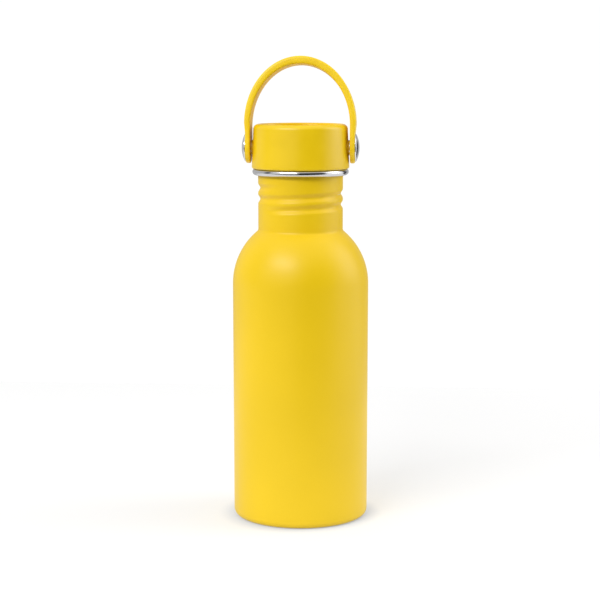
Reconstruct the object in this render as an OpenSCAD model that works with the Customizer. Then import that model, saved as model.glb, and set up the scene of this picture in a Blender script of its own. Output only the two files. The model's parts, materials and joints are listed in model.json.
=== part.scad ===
// Single-wall steel water bottle of 500 ml with a screw cap and a swinging carry loop.
// Frame: origin at the centre of the foot, +Z up, the loop's pivot axis along X, -Y is the front.
// All sizes are in millimetres.

/* [Bottle] */
// Outer radius of the straight body
body_r = 35; // [33:0.5:38]
// Height at which the straight body turns into the round shoulder
shoulder_z = 122.3; // [100:1:160]
// Thickness of the steel sheet
wall = 0.5; // [0.4:0.05:0.6]
// Radius of the bottom corner
foot_r = 3.3; // [2.5:0.1:4]
// Outer radius of the neck
neck_r = 21.75; // [21.75:0.05:22]
// Length of the neck, from the top of the shoulder's curve to the centre of the rolled lip
neck_h = 30.1; // [30:0.5:34]
// Outer radius of the rolled lip's tube
lip_tube_r = 1.7; // [1.5:0.1:1.8]

/* [Thread] */
// Rise of the thread for one turn
pitch = 5.6; // [5.6:0.1:6]
// Depth of the rolled thread groove in the neck
groove_depth = 1.05; // [0.9:0.05:1.1]
// Turns of thread rolled into the neck
neck_turns = 2.125; // [1.5:0.125:2.25]
// Turns of thread on the plug
plug_turns = 1.5; // [1:0.25:1.5]

/* [Cap] */
// Outer radius of the cap at its lower edge
cap_r = 24.7; // [24.6:0.1:25]
// Outer radius of the cap below its top corner
cap_top_r = 24.1; // [24:0.1:24.5]
// Height of the cap
cap_h = 22.45; // [22:0.5:26]
// Radius of the cap's top corner
cap_corner_r = 2.6; // [2:0.2:3]
// Depth of the dished top
dish_depth = 2; // [1:0.25:2.5]
// How far the plug reaches below the cap's lower edge
plug_depth = 20.9; // [20:0.5:22]

/* [Carry loop] */
// Height of the pivot axis above the cap's lower edge
pivot_rise = 10.45; // [10:0.25:11]
// Half width of the loop over the outer faces of its eyelets
loop_half_w = 27.85; // [27.8:0.05:28.5]
// Height of the loop above the pivot axis
loop_h = 45.9; // [42:0.5:55]
// Thickness of the loop at the eyelets
loop_t = 2.5; // [2.4:0.1:2.6]
// How much further out, and how much thicker, the legs are at the foot of the arch
loop_flare = 0.5; // [0:0.1:0.8]
// Extra thickness of the arch at the top
loop_grip_t = 1; // [0:0.1:1.5]
// Radius of the round eyelets
eyelet_r = 7.9; // [7.5:0.1:8.5]
// Half width of the band at the top of the loop
grip_half_w = 6.5; // [5:0.25:7.5]
// Lean of the loop towards the back at rest, in degrees
loop_lean = 4.5; // [0:0.5:8]
// Radius of the pivot pins' domed heads
head_r = 7; // [6:0.25:7.5]

/* [Hidden] */
$fn = 96;

// Bottle
weld_z = 5;                                  // butt weld between the shell and the base cup
fillet_r = 2;                                // blend between the shoulder and the neck
neck_foot_z = shoulder_z + sqrt(body_r ^ 2 - neck_r ^ 2);
lip_z = neck_foot_z + neck_h;                // centre of the rolled lip's tube
lip_c = neck_r - wall + lip_tube_r;          // radius at which the lip's tube is centred
lip_gap_x = -0.7;                            // side of the slit that is left under the rolled lip
lip_top = lip_z + lip_tube_r;
foot_in_r = 27;                              // inner edge of the ring that the bottle stands on
base_rise = 2.6;                             // how far the middle of the base is pushed up
base_ramp = 3;                               // width of the slope that leads up to it

// Thread: the helix passes through thread_z at angle 0, and climbs anticlockwise
thread_z = lip_top - 18.45;
thread_start = -150;                         // angle at which the neck groove begins
thread_fade = 50;                            // angle over which the groove fades in and out
tip_half = 0.5;                              // half width of every thread at its tip
groove_out_half = 2.3;                       // half width of the groove at its mouth
groove_in_half = 2.4;                        // half width of the matching ridge at its root
thread_sunk = 0.28;                          // how far each thread's root reaches past its surface
steps_per_turn = 40;
plug_r = 19.75;                              // outer radius of the plug's wall
plug_thread_h = 1.2;                         // height of the plug's thread
plug_thread_half = 1.2;                      // half width of the plug's thread at its root
plug_start = -100;                           // angle at which the plug's thread begins
plug_fade = 40;                              // angle over which its ends taper off

// Cap
cap_z = lip_top - 0.1;                       // lower edge of the cap
cap_top = cap_z + cap_h;
cap_edge_r = 0.8;                            // rounding of the cap's lower edge
dish_r = 20.8;
dish_corner_r = 1.1;
cap_plate_t = 2.2;                           // thickness of the cap's top plate
cavity_r = 22.2;
flange_r = 23;
flange_t = 1.8;
seat_r = 23.6;                               // inner radius of the skirt that hides the seal
flange_z = cap_z + 2.15;                     // underside of the plug's flange
plug_z = cap_z - plug_depth;
plug_wall = 1.8;

// Seal
seal_gap = 0.1;
seal_in_r = plug_r + 0.25;
seal_out_r = seat_r - 0.3;

// Pivot
pivot_z = cap_z + pivot_rise;
pin_r = 2;
pin_gap = 0.05;                              // running clearance of the bush on the pin
face_x = 24.95;                              // outer face of the cap's boss, where the washer lies
washer_r = 3.9;                              // radius of the washer and of the boss outside the cap
side_gap = 0.1;                              // clearance on each side of the loop's eyelets
boss_r = 4.6;                                // radius of the boss inside the cap
boss_in_x = 18.5;                            // inner end of the boss, where the nut sits
boss_len = 5;
nut_flats = 7;
nut_t = 3.2;
head_rim = 0.5;                              // height of the pin head's straight rim
head_dome = 1.65;                            // height of the dome on it
bush_r = 3;
spring_rise = 12.1;                          // height of the loop's spring line above the pivot
leg_flat = head_r + 0.5;                     // height up to which the eyelets' outer faces are flat
arch_half_w = loop_half_w + loop_flare;
loop_in_x = loop_half_w - loop_t;
head_x = loop_half_w + side_gap;

function polar(r, a) = [r * cos(a), r * sin(a)];
function arc(c, r, from, to, n) = [for (i = [0:n]) c + polar(r, from + (to - from) * i / n)];
function smooth(x) = let (t = min(1, max(0, x))) t * t * (3 - 2 * t);

// ---------------------------------------------------------------- bottle

// Half section of the space inside a skin that lies `inset` under the bottle's outer surface
module bottle_half(inset, low) {
    r = body_r - inset;
    translate([0, low]) square([r, shoulder_z - low]);
    translate([0, shoulder_z]) intersection() {
        circle(r);
        square([r, r]);
    }
    translate([0, shoulder_z]) square([neck_r - inset, lip_z - shoulder_z]);
    neck_fillet(inset);
}

// Concave blend in the corner where the shoulder's sphere meets the neck
module neck_fillet(inset) {
    f = fillet_r + inset;
    r = body_r - inset;
    n = neck_r - inset;
    c = [n + f, sqrt((r + f) ^ 2 - (n + f) ^ 2)];
    lean = atan2(c.y, c.x);
    translate([0, shoulder_z]) polygon(concat(
        [[n - 1, c.y], [n - 1, r * sin(lean) - 1], polar(r - 1, lean)],
        arc(c, f, 180 + lean, 180, 8)
    ));
}

// Section of the rim, rolled outwards and down so that no sheet edge is left at the mouth
module lip_section() {
    far = 2 * lip_tube_r;
    translate([lip_c, lip_z]) difference() {
        circle(lip_tube_r);
        circle(lip_tube_r - wall);
        polygon([[0, 0], [-far, 0], [-far, -far], [lip_gap_x, -far]]);
    }
}

// Sweep of a section along the thread's helix. section(f) gives [radius, height] points, and f goes
// from 0 at either end to 1 where the thread has its full depth.
module helix_sweep(turns, start, z0, fade, section) {
    n = round(turns * steps_per_turn);
    k = len(section(0));
    points = [
        for (i = [0:n])
            let (a = i * 360 / steps_per_turn,
                 f = smooth(a / fade) * smooth((turns * 360 - a) / fade))
            for (p = section(f))
                [each polar(p.x, start + a), z0 + pitch * (start + a) / 360 + p.y]
    ];
    sides = [
        for (i = [0:n - 1], j = [0:k - 1])
            let (a = i * k + j, b = i * k + (j + 1) % k)
            each [[a, b, b + k], [a, b + k, a + k]]
    ];
    ends = [
        for (j = [1:k - 2]) each [[0, j + 1, j], [n * k, n * k + j, n * k + j + 1]]
    ];
    polyhedron(points, concat(sides, ends), convexity = 8);
}

// Section of a thread that stands `depth` out of a surface of radius r, or cuts into it where `side`
// is -1. Its root reaches past the surface, and a fully faded section lies past it altogether.
function thread_section(r, side, depth, half, f) =
    let (tip = r + side * (depth * f - thread_sunk / 2 * (1 - f)), root = r - side * thread_sunk)
    [[root, -side * half], [tip, -side * tip_half], [tip, side * tip_half], [root, side * half]];

// Rolled thread of the neck, as a helix that reaches inwards from radius r
module neck_thread(r, half) {
    helix_sweep(neck_turns, thread_start, thread_z, thread_fade,
        function (f) thread_section(r, -1, groove_depth, half, f));
}

module bottle_shell() {
    color("gold") difference() {
        union() {
            rotate_extrude() difference() {
                bottle_half(0, weld_z);
                bottle_half(wall, weld_z - 1);
                translate([0, lip_z - 0.01]) square([neck_r - wall, 1]);
            }
            neck_thread(neck_r - wall, groove_in_half);
        }
        neck_thread(neck_r, groove_out_half);
    }
    color("silver") rotate_extrude() lip_section();
}

// Pressed base: rounded corner, a flat ring to stand on and a raised middle
module base_cup() {
    corner = [body_r - foot_r, foot_r];
    ramp_top = foot_in_r - base_ramp;
    color("gold") rotate_extrude() {
        difference() {
            union() {
                translate([0, foot_r]) square([body_r, weld_z - foot_r]);
                square([body_r - foot_r, foot_r]);
                translate(corner) circle(foot_r);
            }
            translate([0, foot_r]) square([body_r - wall, weld_z]);
            translate([0, wall]) square([body_r - foot_r, foot_r]);
            translate(corner) circle(foot_r - wall);
            square([foot_in_r, foot_r]);
        }
        polygon([
            [0, base_rise], [ramp_top, base_rise], [foot_in_r, 0], [foot_in_r + wall, 0],
            [foot_in_r + wall, wall], [ramp_top + wall / 2, base_rise + wall], [0, base_rise + wall]
        ]);
    }
}

// Puts its children at the pivot on one side, with +Z pointing outwards along the axis
module at_pivot(side) {
    translate([0, 0, pivot_z]) rotate([0, side * 90, 0]) children();
}

// ---------------------------------------------------------------- cap

// Outline of the cap's outside, from the middle of the dish down to the lower edge
function cap_outline() =
    let (corner = [cap_top_r - cap_corner_r, cap_top - cap_corner_r],
         edge = [cap_r - cap_edge_r, cap_z + cap_edge_r],
         crest = [dish_r + dish_corner_r, cap_top - dish_corner_r])
    concat(
        [[0, cap_top - dish_depth], [dish_r, cap_top - dish_depth]],
        arc(crest, dish_corner_r, 180, 90, 5),
        arc(corner, cap_corner_r, 75, 0, 10),
        arc(edge, cap_edge_r, 0, -90, 5)
    );

// Moulded cover: dished top, side wall, skirt over the seal, and a boss for each pivot pin that stands
// proud of the side wall and reaches inwards to the lock nut
module cap_shell() {
    roof = cap_top - dish_depth - cap_plate_t;
    color("gold") difference() {
        union() {
            rotate_extrude() polygon(concat(
                cap_outline(),
                [[seat_r, cap_z], [seat_r, flange_z], [flange_r, flange_z],
                 [flange_r, flange_z + flange_t], [cavity_r, flange_z + flange_t],
                 [cavity_r, roof], [0, roof]]
            ));
            for (side = [-1, 1]) at_pivot(side) translate([0, 0, boss_in_x]) {
                cylinder(r = boss_r, h = boss_len);
                cylinder(r = washer_r, h = face_x - boss_in_x);
            }
        }
        for (side = [-1, 1]) at_pivot(side) translate([0, 0, boss_in_x - 1])
            cylinder(r = pin_r, h = 2 * boss_len);
    }
}

// Hollow plug that screws into the neck, with the flange that is welded into the cover
module cap_plug() {
    color("khaki") {
        rotate_extrude() difference() {
            union() {
                translate([0, plug_z]) square([plug_r, flange_z - plug_z]);
                translate([0, flange_z]) square([flange_r, flange_t]);
            }
            translate([0, plug_z + plug_wall]) square([plug_r - plug_wall, cap_h + plug_depth]);
        }
        helix_sweep(plug_turns, plug_start, thread_z + pitch / 2, plug_fade,
            function (f) thread_section(plug_r, 1, plug_thread_h, plug_thread_half, f));
    }
}

// Flat silicone ring, pinched between the plug's flange and the rolled lip
module seal_ring() {
    color("whitesmoke") translate([0, 0, lip_top + seal_gap]) difference() {
        cylinder(r = seal_out_r, h = flange_z - lip_top - 2 * seal_gap);
        translate([0, 0, -1]) cylinder(r = seal_in_r, h = 4);
    }
}

// ---------------------------------------------------------------- pivots

// Domed pin: the shank runs through the bush, the washer and the boss into the lock nut
module pivot_pin(side) {
    dome_r = (head_r ^ 2 + head_dome ^ 2) / (2 * head_dome);
    shank_end = boss_in_x - nut_t - 0.6;
    color("silver") at_pivot(side) {
        translate([0, 0, shank_end]) cylinder(r = pin_r, h = head_x - shank_end);
        translate([0, 0, head_x]) cylinder(r = head_r, h = head_rim);
        intersection() {
            translate([0, 0, head_x + head_rim + head_dome - dome_r]) sphere(dome_r);
            translate([0, 0, head_x + head_rim]) cylinder(r = head_r, h = head_dome + 1);
        }
    }
}

module lock_nut(side) {
    color("silver") at_pivot(side) translate([0, 0, boss_in_x - nut_t]) difference() {
        cylinder(d = nut_flats / cos(30), h = nut_t, $fn = 6);
        translate([0, 0, -1]) cylinder(r = pin_r, h = nut_t + 2);
    }
}

module washer(side) {
    color("silver") at_pivot(side) translate([0, 0, face_x]) difference() {
        cylinder(r = washer_r, h = loop_in_x - side_gap - face_x);
        translate([0, 0, -1]) cylinder(r = pin_r, h = 5);
    }
}

// ---------------------------------------------------------------- carry loop

// Point of the arch's outer curve at angle a, 0 at the spring line and 90 at the top
function loop_point(a) = [arch_half_w * cos(a), spring_rise + (loop_h - spring_rise) * sin(a)];
function loop_normal(a) =
    let (v = [cos(a) / arch_half_w, sin(a) / (loop_h - spring_rise)]) v / norm(v);
function loop_thickness(a) = loop_t + loop_flare + loop_grip_t * sin(a);
function loop_inner(a) = loop_point(a) - loop_normal(a) * loop_thickness(a);

// Face of the loop seen along Y: two legs that flare outwards and an oval arch, thicker at the top
module loop_face() {
    n = 30;
    polygon(concat(
        [[loop_half_w, -eyelet_r], [loop_half_w, leg_flat]],
        [for (i = [0:n]) loop_point(180 * i / n)],
        [[-loop_half_w, leg_flat], [-loop_half_w, -eyelet_r], [-loop_in_x, -eyelet_r]],
        [for (i = [n:-1:0]) loop_inner(180 * i / n)],
        [[loop_in_x, -eyelet_r]]
    ));
}

// Side of the loop seen along X: a round eyelet and a band that narrows towards the top
module loop_side() {
    circle(eyelet_r);
    polygon([[-eyelet_r, 0], [eyelet_r, 0], [grip_half_w, loop_h + 1], [-grip_half_w, loop_h + 1]]);
}

// Carries the loop's parts from an upright loop at the pivot to the lean at which it stands
module leaning() {
    translate([0, 0, pivot_z]) rotate([-loop_lean, 0, 0]) children();
}

module carry_loop() {
    color("gold") leaning() difference() {
        intersection() {
            rotate([90, 0, 0]) translate([0, 0, -10]) linear_extrude(20) loop_face();
            rotate([90, 0, 90]) translate([0, 0, -35]) linear_extrude(70) loop_side();
        }
        rotate([0, 90, 0]) cylinder(r = bush_r, h = 80, center = true);
    }
}

// Steel ferrule that lines an eyelet
module bush(side) {
    color("silver") leaning() rotate([0, side * 90, 0]) translate([0, 0, loop_in_x]) difference() {
        cylinder(r = bush_r, h = loop_t);
        translate([0, 0, -1]) cylinder(r = pin_r + pin_gap, h = loop_t + 2);
    }
}

bottle_shell();
base_cup();
seal_ring();
cap_shell();
cap_plug();
pivot_pin(-1);  // left_pivot_pin
pivot_pin(1);  // right_pivot_pin
lock_nut(-1);  // left_lock_nut
lock_nut(1);  // right_lock_nut
washer(-1);  // left_washer
washer(1);  // right_washer
carry_loop();
bush(-1);  // left_bush
bush(1);  // right_bush
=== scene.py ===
"""A single-wall steel water bottle with a screw cap and a swinging carry loop, in a white studio."""
import json
import math

import bmesh
import bpy
from mathutils import Euler, Matrix, Vector

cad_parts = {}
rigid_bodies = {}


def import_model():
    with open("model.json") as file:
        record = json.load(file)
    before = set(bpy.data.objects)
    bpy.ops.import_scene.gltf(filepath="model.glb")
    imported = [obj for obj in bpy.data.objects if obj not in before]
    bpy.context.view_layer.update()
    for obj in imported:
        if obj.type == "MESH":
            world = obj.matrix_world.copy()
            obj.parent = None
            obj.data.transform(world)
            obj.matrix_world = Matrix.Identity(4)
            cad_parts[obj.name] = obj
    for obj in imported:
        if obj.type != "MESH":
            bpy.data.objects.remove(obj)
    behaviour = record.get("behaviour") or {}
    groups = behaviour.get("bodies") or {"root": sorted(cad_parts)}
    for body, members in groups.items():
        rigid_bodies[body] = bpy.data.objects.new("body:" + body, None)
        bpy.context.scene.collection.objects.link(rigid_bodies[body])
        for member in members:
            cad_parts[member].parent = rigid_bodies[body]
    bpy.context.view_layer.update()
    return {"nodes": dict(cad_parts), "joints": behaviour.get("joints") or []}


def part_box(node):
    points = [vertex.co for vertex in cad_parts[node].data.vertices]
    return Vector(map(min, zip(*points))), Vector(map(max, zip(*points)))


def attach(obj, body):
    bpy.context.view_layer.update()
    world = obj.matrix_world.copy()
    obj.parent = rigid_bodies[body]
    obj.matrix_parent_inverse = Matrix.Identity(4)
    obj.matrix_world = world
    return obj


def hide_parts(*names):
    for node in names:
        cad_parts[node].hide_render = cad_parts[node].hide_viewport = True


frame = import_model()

mm = 0.001


# ------------------------------------------------------------------ the shell
# One sheet of stainless steel, 0.5 mm thick, drawn and spun into body, shoulder and neck. The mouth is
# rolled outwards into a lip that stays bare, the thread is rolled into the neck, and the outside has a
# baked powder coat with a fine grain. The inside is left as drawn.
shell_low, shell_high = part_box("bottle_shell")
body_r = shell_high.x
weld_z = shell_low.z
lip_top = shell_high.z
sheet = 0.5 * mm
neck_r = 21.75 * mm
neck_h = 30.1 * mm
lip_tube_r = 1.7 * mm
lip_z = lip_top - lip_tube_r
lip_c = neck_r - sheet + lip_tube_r
lip_roll = 285                       # how far the sheet is rolled over, in degrees
shoulder_z = lip_z - neck_h - math.sqrt(body_r ** 2 - neck_r ** 2)
fillet_r = 2 * mm
thread = {
    "Pitch": 5.6 * mm,
    "Depth": 1.1 * mm,
    "Half width": 2.45 * mm,
    "Height": lip_top - 18.45 * mm,  # of the groove's middle where it passes over +X
    "Start": -150 / 360,             # in turns from +X
    "End": 615 / 360,
    "Fade": 50 / 360,
}
COAT, POLISHED, DRAWN = range(3)


class Wire:
    """A node's output. Arithmetic on it adds Math nodes to the tree that it is in."""

    def __init__(self, bench, socket):
        self.bench = bench
        self.socket = socket

    def maths(self, operation, *others):
        return self.bench.add("ShaderNodeMath", {"operation": operation}, dict(enumerate((self, *others))))

    def also(self, name):
        return Wire(self.bench, self.socket.node.outputs[name])

    def __add__(self, other):
        return self.maths("ADD", other)

    def __sub__(self, other):
        return self.maths("SUBTRACT", other)

    def __rsub__(self, other):
        return self.bench.add("ShaderNodeMath", {"operation": "SUBTRACT"}, {0: other, 1: self})

    def __mul__(self, other):
        return self.maths("MULTIPLY", other)

    def __truediv__(self, other):
        return self.maths("DIVIDE", other)

    __radd__ = __add__


class Bench:
    """A node tree that is being put together."""

    def __init__(self, tree):
        self.tree = tree

    def add(self, kind, settings=None, sockets=None, output=0):
        node = self.tree.nodes.new(kind)
        for name, value in (settings or {}).items():
            setattr(node, name, value)
        for key, value in (sockets or {}).items():
            if isinstance(value, Wire):
                self.tree.links.new(value.socket, node.inputs[key])
            else:
                node.inputs[key].default_value = value
        return Wire(self, node.outputs[output]) if node.outputs else node

    def noise(self, place, size, detail=2.0, roughness=0.5):
        sockets = {"Vector": place, "Scale": 1 / size, "Detail": detail, "Roughness": roughness}
        return self.add("ShaderNodeTexNoise", {}, sockets)

    def span(self, value, low, high, to_low, to_high):
        """value, taken smoothly from the range low..high to the range to_low..to_high."""
        sockets = {"Value": value, "From Min": low, "From Max": high, "To Min": to_low, "To Max": to_high}
        return self.add("ShaderNodeMapRange", {"interpolation_type": "SMOOTHSTEP"}, sockets)

    def tint(self, mask, first, second):
        settings = {"data_type": "RGBA"}
        return self.add("ShaderNodeMix", settings, {0: mask, 6: (*first, 1), 7: (*second, 1)}, 2)

    def bump(self, height, depth):
        return self.add("ShaderNodeBump", {}, {"Height": height, "Strength": 1.0, "Distance": depth})


def finish(name, constants, maps):
    """A Principled material. maps gives what varies over the surface, from Object coordinates."""
    made = bpy.data.materials.new(name)
    made.use_nodes = True
    made.node_tree.nodes.clear()
    bench = Bench(made.node_tree)
    place = bench.add("ShaderNodeTexCoord", {}, {}, "Object")
    surface = bench.add("ShaderNodeBsdfPrincipled", {}, {**constants, **maps(bench, place)})
    bench.add("ShaderNodeOutputMaterial", {}, {"Surface": surface})
    return made


def powder_grain(bench, place):
    grain = bench.noise(place, 0.45 * mm, 2, 0.6)
    peel = bench.noise(place, 2.2 * mm, 1)
    drift = bench.noise(place, 45 * mm, 1)
    shade = bench.span(drift * 0.7 + grain * 0.3, 0.3, 0.7, 0, 1)
    return {
        "Base Color": bench.tint(shade, (0.80, 0.535, 0.003), (0.86, 0.575, 0.005)),
        "Roughness": bench.span(grain, 0.25, 0.75, 0.34, 0.46),
        "Normal": bench.bump(grain * 0.7 + peel * 0.3, 0.035 * mm),
    }


def from_axis(parts):
    """Distance from the bottle's axis. parts is the wire of a Separate XYZ node."""
    return (parts * parts + parts.also("Y") * parts.also("Y")).maths("SQRT")


def spun(bench, across):
    """Noise in fine rings, such as spinning and polishing leave. across is a wire that changes from one
    ring to the next."""
    ring = bench.add("ShaderNodeCombineXYZ", {}, {2: across})
    return bench.noise(ring, 0.12 * mm, 3, 0.7)


def polished_rings(bench, place):
    parts = bench.add("ShaderNodeSeparateXYZ", {}, {0: place})
    rings = spun(bench, from_axis(parts) + parts.also("Z"))
    smear = bench.noise(place, 9 * mm, 2)
    return {
        "Base Color": bench.tint(smear, (0.66, 0.66, 0.68), (0.57, 0.57, 0.59)),
        "Roughness": bench.span(rings * 0.6 + smear * 0.4, 0.3, 0.7, 0.10, 0.20),
        "Normal": bench.bump(rings, 0.003 * mm),
    }


def drawn_streaks(bench, place):
    parts = bench.add("ShaderNodeSeparateXYZ", {}, {0: place})
    rings = spun(bench, parts.also("Z"))
    cloud = bench.noise(place, 14 * mm, 3)
    return {
        "Base Color": bench.tint(cloud, (0.62, 0.61, 0.60), (0.52, 0.52, 0.52)),
        "Roughness": bench.span(rings * 0.5 + cloud * 0.5, 0.3, 0.7, 0.26, 0.42),
        "Normal": bench.bump(rings, 0.006 * mm),
    }


powder_coat = finish("powder_coat", {"IOR": 1.41}, powder_grain)
polished_steel = finish("polished_steel", {"Metallic": 1.0}, polished_rings)
drawn_steel = finish("drawn_steel", {"Metallic": 1.0}, drawn_streaks)
shell_finishes = [powder_coat, polished_steel, drawn_steel]


def arc(centre, radius, start, end, steps):
    """Points on an arc in the plane of (radius from the axis, height). Angles are in degrees."""
    angles = [math.radians(start + (end - start) * i / steps) for i in range(steps + 1)]
    return [(centre[0] + radius * math.cos(a), centre[1] + radius * math.sin(a)) for a in angles]


def line(start, end, steps):
    return [tuple(Vector(start).lerp(end, i / steps)) for i in range(steps + 1)]


def show(name, mesh, materials=(), sharp=35):
    """An object at the origin that shows a finished mesh. A mesh that a tree has made already has its
    materials. Edges sharper than sharp, in degrees, stay crisp."""
    mesh.name = name
    made = bpy.data.objects.new(name, mesh)
    bpy.context.scene.collection.objects.link(made)
    for material in materials:
        mesh.materials.append(material)
    mesh.shade_smooth()
    mesh.set_sharp_from_angle(angle=math.radians(sharp))
    return made


def turned(stretches, segments=192):
    """A closed mesh turned about Z. stretches are (finish number, points) pairs, and together they run
    round the section with its inside on their left. A point on the axis becomes one shared corner."""
    outline = [(r, z, number) for number, points in stretches for r, z in points]
    angles = [math.tau * k / segments for k in range(segments)]
    bm = bmesh.new()
    rings = []
    for r, z, number in outline:
        if r < 1e-7:
            rings.append([bm.verts.new((0, 0, z))] * segments)
        else:
            rings.append([bm.verts.new((r * math.cos(a), r * math.sin(a), z)) for a in angles])
    for (_, _, number), ring, after in zip(outline, rings, rings[1:] + rings[:1]):
        for k in range(segments):
            corners = [ring[k - 1], ring[k], after[k], after[k - 1]]
            distinct = list(dict.fromkeys(corners))
            if len(distinct) > 2:
                bm.faces.new(distinct).material_index = number
    bmesh.ops.remove_doubles(bm, verts=bm.verts, dist=1e-7)
    mesh = bpy.data.meshes.new("turned")
    bm.to_mesh(mesh)
    bm.free()
    return mesh


def skin(inset):
    """The shell's outline on one side of the sheet, from the weld up to the lip's middle, inset from the
    outer surface."""
    r, n = body_r - inset, neck_r - inset
    f = fillet_r + inset
    centre = (n + f, shoulder_z + math.sqrt((r + f) ** 2 - (n + f) ** 2))
    lean = math.degrees(math.atan2(centre[1] - shoulder_z, centre[0]))
    return [
        *line((r, weld_z), (r, shoulder_z), 24)[:-1],
        *arc((0, shoulder_z), r, 0, lean, 28)[:-1],
        *arc(centre, f, 180 + lean, 180, 8)[:-1],
        *line((n, centre[1]), (n, lip_z), 72),
    ]


def geometry_tree(name, inputs):
    """A Geometry Nodes tree with a geometry input and these named inputs, and its Group Input's wire."""
    tree = bpy.data.node_groups.new(name, "GeometryNodeTree")
    tree.interface.new_socket("Geometry", in_out="INPUT", socket_type="NodeSocketGeometry")
    for label in inputs:
        tree.interface.new_socket(label, in_out="INPUT", socket_type="NodeSocketFloat")
    tree.interface.new_socket("Geometry", in_out="OUTPUT", socket_type="NodeSocketGeometry")
    bench = Bench(tree)
    return bench, bench.add("NodeGroupInput")


def end_tree(bench, geometry, materials):
    """Ends the tree: instances are made real, and each finish number gets its material."""
    geometry = bench.add("GeometryNodeRealizeInstances", {}, {0: geometry})
    number = bench.add("GeometryNodeInputMaterialIndex")
    for i, material in enumerate(materials):
        chosen = {"Selection": number.maths("COMPARE", i, 0.1)} if len(materials) > 1 else {}
        sockets = {"Geometry": geometry, "Material": material, **chosen}
        geometry = bench.add("GeometryNodeSetMaterial", {}, sockets)
    bench.add("NodeGroupOutput", {}, {0: geometry})
    bench.materials = materials


def worked(mesh, bench, values):
    """The plain mesh that a tree makes of mesh, with these values on the tree's named inputs."""
    for material in bench.materials:
        mesh.materials.append(material)
    holder = bpy.data.objects.new("holder", mesh)
    bpy.context.scene.collection.objects.link(holder)
    modifier = holder.modifiers.new("work", "NODES")
    modifier.node_group = bench.tree
    for item in bench.tree.interface.items_tree:
        if item.name in values:
            modifier[item.identifier] = values[item.name]
    seen = holder.evaluated_get(bpy.context.evaluated_depsgraph_get())
    made = bpy.data.meshes.new_from_object(seen)
    bpy.data.objects.remove(holder)
    return made


# The thread roller presses a groove along a helix, and the sheet bulges inwards behind it.
roller, given = geometry_tree("thread_roller", thread)
position = roller.add("GeometryNodeInputPosition")
parts = roller.add("ShaderNodeSeparateXYZ", {}, {0: position})
across, along, height = parts, parts.also("Y"), parts.also("Z")
radius = from_axis(parts)
turn = along.maths("ARCTAN2", across) / math.tau
climb = (height - given.also("Height")) / given.also("Pitch") - turn
nearest = climb.maths("ROUND")
off = (climb - nearest).maths("ABSOLUTE") * given.also("Pitch") / given.also("Half width")
start, end, fade = given.also("Start"), given.also("End"), given.also("Fade")
reach = turn + nearest
presence = roller.span(reach, start, start + fade, 0, 1) * roller.span(reach, end - fade, end, 1, 0)
push = roller.span(off, 0, 1, 1, 0) * presence * given.also("Depth") / radius * -1
offset = roller.add("ShaderNodeCombineXYZ", {}, {0: across * push, 1: along * push})
rolled = roller.add("GeometryNodeSetPosition", {}, {"Geometry": given.also("Geometry"), "Offset": offset})
end_tree(roller, rolled, shell_finishes)

lip_centre = (lip_c, lip_z)
shell_blank = turned([
    (COAT, skin(0)),
    (POLISHED, arc(lip_centre, lip_tube_r - sheet, 180, 180 - lip_roll, 40)[1:]),
    (POLISHED, arc(lip_centre, lip_tube_r, 180 - lip_roll, 180, 48)),
    (DRAWN, skin(sheet)[-2::-1]),
])
shell = show("bottle_shell_coated", worked(shell_blank, roller, thread))
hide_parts("bottle_shell")
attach(shell, "bottle")


# ------------------------------------------------------------------ the base
# A pressed disc of the same steel, butt-welded into the shell before coating, so that the coat hides the
# weld. It stands on a flat ring, and its middle is pushed up. The inside is bare.
corner_r = 3.3 * mm
ring_in_r = 27 * mm
rise = 2.6 * mm
ramp = 3 * mm
foot_c = (body_r - corner_r, corner_r)


def base_skin(inset):
    """The base's outline on one side of the sheet, from the middle out to the weld."""
    shares = [i / 12 for i in range(13)]
    slope = [(ring_in_r - ramp * (1 - t), inset + rise * (1 - t * t * (3 - 2 * t))) for t in shares]
    return [
        *line((0, rise + inset), slope[0], 8)[:-1],
        *slope,
        *arc(foot_c, corner_r - inset, -90, 0, 16),
        (body_r - inset, weld_z),
    ]


base_mesh = turned([(COAT, base_skin(0)), (DRAWN, base_skin(sheet)[::-1])])
base = show("base_cup_coated", base_mesh, shell_finishes)
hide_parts("base_cup")
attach(base, "bottle")


# ------------------------------------------------------------------ the seal
# A flat ring of translucent white silicone, cut from sheet. It lies under the plug's flange and is
# pinched against the rolled lip.
def rounded_ring(inner, outer, low, high, edge):
    """Section of a plain ring whose four corners are rounded."""
    return [
        *arc((outer - edge, low + edge), edge, -90, 0, 6),
        *arc((outer - edge, high - edge), edge, 0, 90, 6),
        *arc((inner + edge, high - edge), edge, 90, 180, 6),
        *arc((inner + edge, low + edge), edge, 180, 270, 6),
    ]


def silicone_cloud(bench, place):
    cloud = bench.noise(place, 6 * mm, 2)
    skin_grain = bench.noise(place, 0.3 * mm, 2)
    return {
        "Base Color": bench.tint(cloud, (0.84, 0.84, 0.82), (0.76, 0.77, 0.75)),
        "Roughness": bench.span(skin_grain, 0.3, 0.7, 0.38, 0.55),
        "Normal": bench.bump(skin_grain, 0.02 * mm),
    }


silicone = finish(
    "silicone", {"IOR": 1.41, "Subsurface Weight": 0.3, "Subsurface Scale": 2 * mm}, silicone_cloud
)
seal_low, seal_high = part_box("seal_ring")
seal_in_r = 20 * mm
seal_section = rounded_ring(seal_in_r, seal_high.x, seal_low.z, seal_high.z, 0.3 * mm)
seal = show("seal_ring_silicone", turned([(0, seal_section)]), [silicone])
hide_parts("seal_ring")
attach(seal, "seal")


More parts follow.
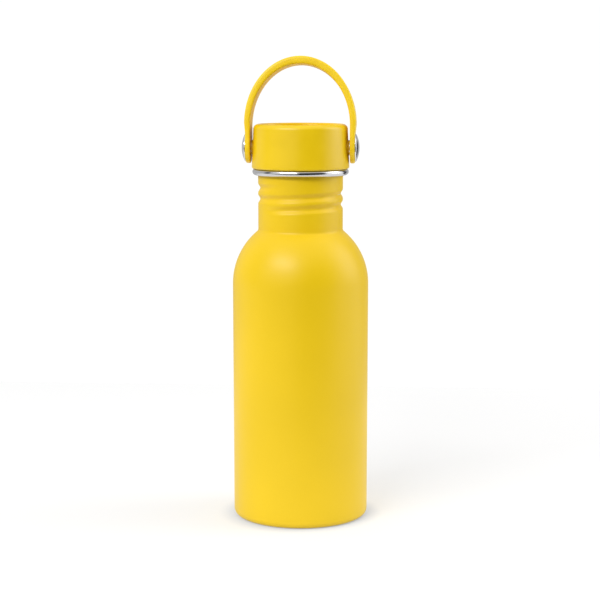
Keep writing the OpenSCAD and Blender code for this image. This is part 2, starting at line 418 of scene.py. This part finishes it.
# ------------------------------------------------------------------ the cap's cover
# Injection-moulded polypropylene with a satin mould finish: a slightly drafted side, a round top edge and
# a dished top. On each side a boss for the pivot pin stands proud of the wall, and a skirt hides the seal.
cap_low, cap_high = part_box("cap_shell")
pivot = Vector(next(joint["pos_m"] for joint in frame["joints"] if joint["name"] == "loop_swing"))
cap_z, cap_top, cap_r = cap_low.z, cap_high.z, cap_high.x
cap_top_r = 24.1 * mm
cap_corner_r = 2.6 * mm
cap_edge_r = 0.8 * mm
skirt_edge_r = 0.25 * mm
dish_depth = 2 * mm
dish_r = 20.8 * mm
dish_corner_r = 1.1 * mm
dish_root_r = 0.5 * mm
plate = 2.2 * mm
cavity_r = 22.2 * mm
seat_r = 23.6 * mm
flange_r = 23 * mm
flange_z = cap_z + 2.15 * mm
flange_t = 1.8 * mm
boss_r = 4.6 * mm
boss_edge_r = 0.3 * mm
boss_in_x = 18.5 * mm
step_x = cavity_r + 0.5 * mm           # where the boss narrows, inside the wall
face_x = 24.95 * mm
face_r = 3.9 * mm
face_edge_r = 0.15 * mm
shank_r = 2 * mm


def moulded_satin(bench, place):
    grain = bench.noise(place, 0.35 * mm, 2, 0.6)
    flow = bench.noise(place, 20 * mm, 2)
    shade = bench.span(flow, 0.3, 0.7, 0, 1)
    return {
        "Base Color": bench.tint(shade, (0.81, 0.545, 0.003), (0.86, 0.585, 0.005)),
        "Roughness": bench.span(grain * 0.6 + flow * 0.4, 0.3, 0.7, 0.28, 0.38),
        "Normal": bench.bump(grain, 0.015 * mm),
    }


cap_plastic = finish("cap_plastic", {"IOR": 1.45}, moulded_satin)


def cut(mesh, tools):
    """mesh with the tools' meshes taken out of it."""
    holder = bpy.data.objects.new("holder", mesh)
    bpy.context.scene.collection.objects.link(holder)
    cutters = bpy.data.collections.new("cutters")
    for tool in tools:
        cutters.objects.link(bpy.data.objects.new("cutter", tool))
    modifier = holder.modifiers.new("cut", "BOOLEAN")
    modifier.operand_type = "COLLECTION"
    modifier.collection = cutters
    modifier.solver = "EXACT"
    seen = holder.evaluated_get(bpy.context.evaluated_depsgraph_get())
    made = bpy.data.meshes.new_from_object(seen)
    for used in [holder, *cutters.objects]:
        bpy.data.objects.remove(used)
    bpy.data.collections.remove(cutters)
    return made


def facing(side):
    """Turns +Z outwards along the pivot axis on one side, at the pivot's height."""
    return Matrix.Translation(pivot) @ Matrix.Rotation(side * math.pi / 2, 4, "Y")


def rod(radius, low, high, side):
    """A plain round cutter along the pivot axis."""
    mesh = turned([(0, [(0, low), (radius, low), (radius, high), (0, high)])], 64)
    mesh.transform(facing(side))
    return mesh


roof = cap_top - dish_depth - plate
cover_section = [
    *line((cap_r, cap_z + cap_edge_r), (cap_top_r, cap_top - cap_corner_r), 20)[:-1],
    *arc((cap_top_r - cap_corner_r, cap_top - cap_corner_r), cap_corner_r, 0, 78, 14),
    *arc((dish_r + dish_corner_r, cap_top - dish_corner_r), dish_corner_r, 95, 172, 8),
    *arc((dish_r - dish_root_r, cap_top - dish_depth + dish_root_r), dish_root_r, 0, -90, 4),
    *line((dish_r - 1 * mm, cap_top - dish_depth), (0, cap_top - dish_depth), 10),
    *line((0, roof), (cavity_r, roof), 8),
    (cavity_r, flange_z + flange_t),
    (flange_r, flange_z + flange_t),
    (flange_r, flange_z),
    (seat_r, flange_z),
    *arc((seat_r + skirt_edge_r, cap_z + skirt_edge_r), skirt_edge_r, 180, 270, 4),
    *arc((cap_r - cap_edge_r, cap_z + cap_edge_r), cap_edge_r, -90, 0, 8)[:-1],
]
boss_section = [
    (shank_r, boss_in_x),
    *arc((boss_r - boss_edge_r, boss_in_x + boss_edge_r), boss_edge_r, -90, 0, 4),
    (boss_r, step_x),
    (face_r, step_x),
    *arc((face_r - face_edge_r, face_x - face_edge_r), face_edge_r, 0, 90, 4),
    (shank_r, face_x),
]
pin_holes = [rod(shank_r, cavity_r - 1 * mm, cap_r, side) for side in (-1, 1)]
bm = bmesh.new()
bm.from_mesh(cut(turned([(0, cover_section)]), pin_holes))
for side in (-1, 1):
    boss = turned([(0, boss_section)], 96)
    boss.transform(facing(side))
    bm.from_mesh(boss)
cover_mesh = bpy.data.meshes.new("cover")
bm.to_mesh(cover_mesh)
bm.free()
cover = show("cap_cover", cover_mesh, [cap_plastic])
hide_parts("cap_shell")
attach(cover, "cap")


# ------------------------------------------------------------------ the plug
# A hollow moulding in natural polypropylene, welded into the cover, with the mould gate's round mark on its
# closed end. Its thread is a single start with the neck's pitch. It winds left-handed here, which is a fault:
# the neck's is right-handed.
plug_r = 19.75 * mm
plug_z = cap_z - 20.9 * mm
plug_wall = 1.8 * mm
plug_edge_r = 1.2 * mm
plug_root_r = 1 * mm
flange_edge_r = 0.2 * mm
thread_bar_r = 1.15 * mm
gate_r = 1.6 * mm
gate_h = 0.3 * mm
plug_thread = {
    "Pitch": thread["Pitch"],
    "Turns": 1.5,
    "Start": -100 / 360,
    "Height": thread["Height"] + thread["Pitch"] / 2,
    "Radius": plug_r - 0.2 * mm,
    "Taper": 40 / 360,
}


def natural_plastic(bench, place):
    grain = bench.noise(place, 0.5 * mm, 2)
    flow = bench.noise(place, 12 * mm, 2)
    return {
        "Base Color": bench.tint(flow, (0.80, 0.80, 0.76), (0.72, 0.72, 0.69)),
        "Roughness": bench.span(grain, 0.3, 0.7, 0.28, 0.40),
        "Normal": bench.bump(grain, 0.012 * mm),
    }


plug_plastic = finish(
    "plug_plastic", {"IOR": 1.49, "Subsurface Weight": 0.2, "Subsurface Scale": 3 * mm}, natural_plastic
)

# The thread is a profile swept along a spiral, which shrinks into the wall at both ends.
threader, given = geometry_tree("plug_threader", plug_thread)
turns = given.also("Turns")
spiral = threader.add("GeometryNodeCurveSpiral", {}, {
    "Resolution": 96,
    "Rotations": turns,
    "Start Radius": given.also("Radius"),
    "End Radius": given.also("Radius"),
    "Height": turns * given.also("Pitch"),
})
share = threader.add("GeometryNodeSplineParameter") * turns
taper = given.also("Taper")
size = threader.span(share, 0, taper, 0.02, 1) * threader.span(share, turns - taper, turns, 1, 0.02)
spiral = threader.add("GeometryNodeSetCurveRadius", {}, {"Curve": spiral, "Radius": size})
bar = threader.add("GeometryNodeCurvePrimitiveCircle", {}, {"Resolution": 14, "Radius": thread_bar_r})
sweep = threader.add("GeometryNodeCurveToMesh", {}, {
    "Curve": spiral, "Profile Curve": bar, "Fill Caps": True,
})
place_up = threader.add("ShaderNodeCombineXYZ", {}, {
    2: given.also("Height") + given.also("Start") * given.also("Pitch"),
})
place_turn = threader.add("ShaderNodeCombineXYZ", {}, {2: given.also("Start") * math.tau})
sweep = threader.add("GeometryNodeTransform", {}, {
    "Geometry": sweep, "Translation": place_up, "Rotation": place_turn,
})
both = threader.add("GeometryNodeJoinGeometry", {}, {0: given.also("Geometry")})
threader.tree.links.new(sweep.socket, both.socket.node.inputs[0])
end_tree(threader, both, [plug_plastic])

plug_section = [
    *arc((plug_r - plug_edge_r, plug_z + plug_edge_r), plug_edge_r, -90, 0, 8),
    *line((plug_r, plug_z + 2 * plug_edge_r), (plug_r, flange_z), 8),
    *arc((flange_r - flange_edge_r, flange_z + flange_edge_r), flange_edge_r, -90, 0, 3),
    (flange_r, flange_z + flange_t),
    (plug_r - plug_wall, flange_z + flange_t),
    *arc((plug_r - plug_wall - plug_root_r, plug_z + plug_wall + plug_root_r), plug_root_r, 0, -90, 6),
    (0, plug_z + plug_wall),
    (0, plug_z),
    (gate_r, plug_z),
    (gate_r + gate_h, plug_z + gate_h),
    (gate_r + 2 * gate_h, plug_z),
]
plug = show("cap_plug_threaded", worked(turned([(0, plug_section)], 128), threader, plug_thread))
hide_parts("cap_plug")
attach(plug, "cap")


# ------------------------------------------------------------------ the pivots
# On each side a stainless pin with a polished domed head runs through the loop's eyelet, a washer and the
# cap's boss, and a lock nut holds it inside the cap.
pin_low, pin_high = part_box("right_pivot_pin")
washer_low, washer_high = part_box("right_washer")
head_r = pin_high.y
head_x = 27.95 * mm
head_rim = 0.5 * mm
head_edge = 0.1 * mm
head_round = 0.6 * mm
shank_edge_r = 0.3 * mm


def turned_head(bench, place):
    parts = bench.add("ShaderNodeSeparateXYZ", {}, {0: place})
    up = parts.also("Z") - pivot.z
    around = (parts.also("Y") * parts.also("Y") + up * up).maths("SQRT")
    rings = spun(bench, around)
    smear = bench.noise(place, 5 * mm, 2)
    return {
        "Base Color": bench.tint(smear, (0.78, 0.78, 0.80), (0.68, 0.68, 0.70)),
        "Roughness": bench.span(rings * 0.5 + smear * 0.5, 0.3, 0.7, 0.07, 0.16),
        "Normal": bench.bump(rings, 0.002 * mm),
    }


head_steel = finish("head_steel", {"Metallic": 1.0}, turned_head)

# Puts one piece of ironmongery, made along Z, on both sides of the cap.
pairer, given = geometry_tree("both_sides", ["Pivot height"])
points = pairer.add("GeometryNodePoints", {}, {"Count": 2})
side = pairer.add("GeometryNodeInputIndex") * 2 - 1
tilt = pairer.add("ShaderNodeCombineXYZ", {}, {1: side * (math.pi / 2)})
tilt = pairer.add("FunctionNodeEulerToRotation", {}, {0: tilt})
pair = pairer.add("GeometryNodeInstanceOnPoints", {}, {
    "Points": points, "Instance": given.also("Geometry"), "Rotation": tilt,
})
lift = pairer.add("ShaderNodeCombineXYZ", {}, {2: given.also("Pivot height")})
pair = pairer.add("GeometryNodeTransform", {}, {"Geometry": pair, "Translation": lift})
end_tree(pairer, pair, [head_steel])


def on_both_sides(name, section, nodes, body, segments=96):
    mesh = worked(turned([(0, section)], segments), pairer, {"Pivot height": pivot.z})
    made = show(name, mesh)
    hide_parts(*nodes)
    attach(made, body)
    return made


shank_end = pin_low.x
rim_top = head_x + head_rim
dome = pin_high.x - rim_top
dome_r = (head_r ** 2 + dome ** 2) / (2 * dome)
dome_c = pin_high.x - dome_r
round_c = dome_c + math.sqrt((dome_r - head_round) ** 2 - (head_r - head_round) ** 2)
meet = math.degrees(math.atan2(round_c - dome_c, head_r - head_round))
pin_section = [
    (0, shank_end),
    *arc((shank_r - shank_edge_r, shank_end + shank_edge_r), shank_edge_r, -90, 0, 4),
    (shank_r, head_x),
    *arc((head_r - head_edge, head_x + head_edge), head_edge, -90, 0, 3),
    *arc((head_r - head_round, round_c), head_round, 0, meet, 8)[:-1],
    *arc((0, dome_c), dome_r, meet, 90, 16),
]
on_both_sides("pivot_pins", pin_section, ["left_pivot_pin", "right_pivot_pin"], "cap", 128)
washer_section = rounded_ring(shank_r, washer_high.y, washer_low.x, washer_high.x, 0.08 * mm)
on_both_sides("pivot_washers", washer_section, ["left_washer", "right_washer"], "cap")
for node in ("left_lock_nut", "right_lock_nut"):
    frame["nodes"][node].data.materials.clear()
    frame["nodes"][node].data.materials.append(head_steel)


# ------------------------------------------------------------------ the carry loop
# A strap moulded in flexible plastic: round eyelets, legs that flare outwards a little and an oval arch,
# thicker at the top, where it is held. Its edges are rounded. It stands with a slight lean to the back.
arch_half_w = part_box("carry_loop")[1].x
loop_flare = 0.5 * mm
loop_half_w = arch_half_w - loop_flare
loop_h = 45.9 * mm
loop_t = 2.5 * mm
loop_grip_t = 1 * mm
eyelet_r = 7.9 * mm
grip_half_w = 6.5 * mm
loop_lean = math.radians(4.5)
spring_rise = 12.1 * mm
leg_flat = head_r + 0.5 * mm           # height up to which the eyelets' outer faces are flat
bush_r = 3 * mm
edge_share = 0.3                       # rounding of the strap's edges, as a share of its thickness
arch_h = loop_h - spring_rise


def flexible_satin(bench, place):
    grain = bench.noise(place, 0.4 * mm, 2, 0.6)
    flow = bench.noise(place, 9 * mm, 2)
    shade = bench.span(flow, 0.3, 0.7, 0, 1)
    return {
        "Base Color": bench.tint(shade, (0.89, 0.60, 0.003), (0.94, 0.65, 0.006)),
        "Roughness": bench.span(grain * 0.5 + flow * 0.5, 0.3, 0.7, 0.34, 0.46),
        "Normal": bench.bump(grain, 0.006 * mm),
    }


loop_plastic = finish("loop_plastic", {"IOR": 1.45}, flexible_satin)


def strap_row(middle, outward, thick, rise):
    """Corners of one row round the strap. rise is the row's height above the pivot along the strap."""
    half_w = math.sqrt(max(0, eyelet_r ** 2 - min(rise, 0) ** 2))
    half_w -= (eyelet_r - grip_half_w) * max(rise, 0) / loop_h
    edge = edge_share * thick
    bends = [1 - edge * (1 - math.cos(math.pi / 12 * i)) / eyelet_r for i in range(7)]
    across = bends + [bends[-1] * (1 - i / 5) for i in range(1, 6)]
    across += [-v for v in across[-2::-1]]
    faces = []
    for v in across:
        y = v * half_w
        depth = half_w - abs(y) if rise > 0 else eyelet_r - math.hypot(rise, y)
        inner = max(0, edge - max(0, depth))
        faces.append((y, thick / 2 - edge + math.sqrt(edge ** 2 - inner ** 2)))
    front = [middle + outward * h + Vector((0, y, 0)) for y, h in faces]
    back = [middle - outward * h + Vector((0, y, 0)) for y, h in reversed(faces)]
    return front + back


def strap_side(side, eye_rows=16, leg_rows=8, arch_rows=40):
    """Rows of one half of the strap, from its eyelet's end up to the top."""
    rises = [-eyelet_r * math.cos(math.pi / 2 * i / eye_rows) for i in range(eye_rows)]
    rises += [spring_rise * i / leg_rows for i in range(leg_rows)]
    rows = []
    for rise in rises:
        share = max(0, (rise - leg_flat) / (spring_rise - leg_flat))
        thick = loop_t + loop_flare * share
        leg_x = side * (loop_half_w - loop_t + thick / 2)
        rows.append(strap_row(Vector((leg_x, 0, rise)), Vector((side, 0, 0)), thick, rise))
    for i in range(arch_rows + 1):
        a = math.pi / 2 * i / arch_rows
        outward = Vector((side * math.cos(a) / arch_half_w, 0, math.sin(a) / arch_h)).normalized()
        thick = loop_t + loop_flare + loop_grip_t * math.sin(a)
        outer = Vector((side * arch_half_w * math.cos(a), 0, spring_rise + arch_h * math.sin(a)))
        rows.append(strap_row(outer - outward * thick / 2, outward, thick, outer.z))
    return rows


bm = bmesh.new()
strap = [[bm.verts.new(corner) for corner in row] for row in strap_side(1) + strap_side(-1)[-2::-1]]
for row, after in zip(strap, strap[1:]):
    for k in range(len(row)):
        bm.faces.new([row[k - 1], after[k - 1], after[k], row[k]])
bmesh.ops.remove_doubles(bm, verts=bm.verts, dist=1e-6)
bmesh.ops.dissolve_degenerate(bm, edges=bm.edges, dist=1e-6)
bmesh.ops.recalc_face_normals(bm, faces=bm.faces)
strap_mesh = bpy.data.meshes.new("strap")
bm.to_mesh(strap_mesh)
bm.free()
strap_mesh.transform(Matrix.Translation(pivot) @ Matrix.Rotation(-loop_lean, 4, "X"))
eyelets = [rod(bush_r, loop_half_w - 2 * loop_t, loop_half_w + loop_t, side) for side in (-1, 1)]
loop = show("carry_loop_strap", cut(strap_mesh, eyelets), [loop_plastic], 50)
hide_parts("carry_loop")
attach(loop, "loop")

bush_section = rounded_ring(shank_r + 0.05 * mm, bush_r, loop_half_w - loop_t, loop_half_w, 0.1 * mm)
on_both_sides("loop_bushes", bush_section, ["left_bush", "right_bush"], "loop")


# ------------------------------------------------------------------ the studio
# A wide sheet of white paper, in a white surround that glows at the front left, at both sides, behind and
# above. It is dark between these, and so behind the camera. Two soft boxes light the bottle.
camera_turn = math.radians(4)
camera_away = 0.837
camera_up = 0.231
camera_dip = math.radians(9.947)
table_half_w = 1.5
table_front = -0.27
table_back = 0.35

ground = bpy.data.meshes.new("floor")
ground.from_pydata([
    (-table_half_w, table_front, 0), (table_half_w, table_front, 0),
    (table_half_w, table_back, 0), (-table_half_w, table_back, 0),
], [], [(0, 1, 2, 3)])


def floor_paper(bench, place):
    """White paper that glows evenly, as if lit from behind, but for a painted contact shadow: its glow is
    dimmed in a soft ring round the foot.
    """
    fibre = bench.noise(place, 1.5 * mm, 2)
    parts = bench.add("ShaderNodeSeparateXYZ", {}, {0: place})
    # Painted contact shadow: clear runs from 0 at the foot to 1 a little way out, and dims the paper's glow
    # to a bluish grey in between.
    clear = bench.span(from_axis(parts), body_r - 3 * mm, body_r + 10 * mm, 0, 1)
    return {
        "Base Color": bench.tint(fibre, (0.49, 0.49, 0.49), (0.51, 0.51, 0.51)),
        "Emission Color": bench.tint(clear, (0.48, 0.58, 0.76), (1, 1, 1)),
    }


paper = finish("floor_paper", {
    "Roughness": 0.9, "Specular IOR Level": 0.1, "Emission Strength": 0.45,
}, floor_paper)
floor = show("studio_floor", ground, [paper])

studio = bpy.data.worlds.new("studio")
studio.use_nodes = True
studio.node_tree.nodes.clear()
sky = Bench(studio.node_tree)
way = sky.add("ShaderNodeTexCoord", {}, {}, "Generated")
parts = sky.add("ShaderNodeSeparateXYZ", {}, {0: way})
bearing = parts.maths("ARCTAN2", 0 - parts.also("Y"))


def lobe(centre, half, soft):
    """1 within half a width of a bearing from the front, in degrees, and softly 0 beyond it."""
    apart = (bearing - math.radians(centre)).maths("WRAP", math.pi, -math.pi).maths("ABSOLUTE")
    return sky.span(apart, math.radians(half), math.radians(half + soft), 1, 0)


above = sky.span(parts.also("Z"), 0.45, 0.80, 0, 1) * 0.8
front_left = lobe(-40, 33, 7) * sky.span(parts.also("Z"), -0.05, 0.15, 0.25, 1) * 0.95
walls = above.maths("MAXIMUM", front_left).maths("MAXIMUM", lobe(-122, 24, 12) * 0.6)
walls = walls.maths("MAXIMUM", lobe(98, 24, 12) * 1.2).maths("MAXIMUM", lobe(180, 26, 14) * 0.5)
seen = sky.add("ShaderNodeLightPath", {}, {}, "Is Camera Ray")
glow = (0.04 + walls).maths("MAXIMUM", seen * 1.02)
backdrop = sky.add("ShaderNodeBackground", {}, {"Color": (1, 1, 1, 1), "Strength": glow})
sky.add("ShaderNodeOutputWorld", {}, {"Surface": backdrop})
bpy.context.scene.world = studio


def soft_box(name, bearing_deg, height_deg, away, width, tall, power):
    """A rectangular light that faces the middle of the bottle. The bearing is counted from the front, with
    the right-hand side positive."""
    aim = Vector((0, 0, lip_top / 2))
    bearing_rad, height_rad = math.radians(bearing_deg), math.radians(height_deg)
    way_there = Vector((
        math.sin(bearing_rad) * math.cos(height_rad),
        -math.cos(bearing_rad) * math.cos(height_rad),
        math.sin(height_rad),
    ))
    light = bpy.data.lights.new(name, "AREA")
    light.shape = "RECTANGLE"
    light.size = width
    light.size_y = tall
    light.energy = power
    lamp = bpy.data.objects.new(name, light)
    lamp.location = aim + way_there * away
    lamp.rotation_euler = way_there.to_track_quat("Z", "Y").to_euler()
    bpy.context.scene.collection.objects.link(lamp)


soft_box("key_box", -30, 39, 1.3, 0.80, 0.26, 9)
soft_box("side_box", 99, 27, 1.1, 0.5, 0.8, 3.2)

lens = bpy.data.cameras.new("camera")
lens.lens = 97.69
lens.sensor_width = 36
lens.shift_x = -0.00095
lens.shift_y = 0.0923
lens.clip_start = 0.01
camera = bpy.data.objects.new("camera", lens)
camera.location = (camera_away * math.sin(camera_turn), -camera_away * math.cos(camera_turn), camera_up)
camera.rotation_euler = Euler((math.pi / 2 - camera_dip, 0, camera_turn))
bpy.context.scene.collection.objects.link(camera)
bpy.context.scene.camera = camera
bpy.context.scene.view_settings.view_transform = "Standard"
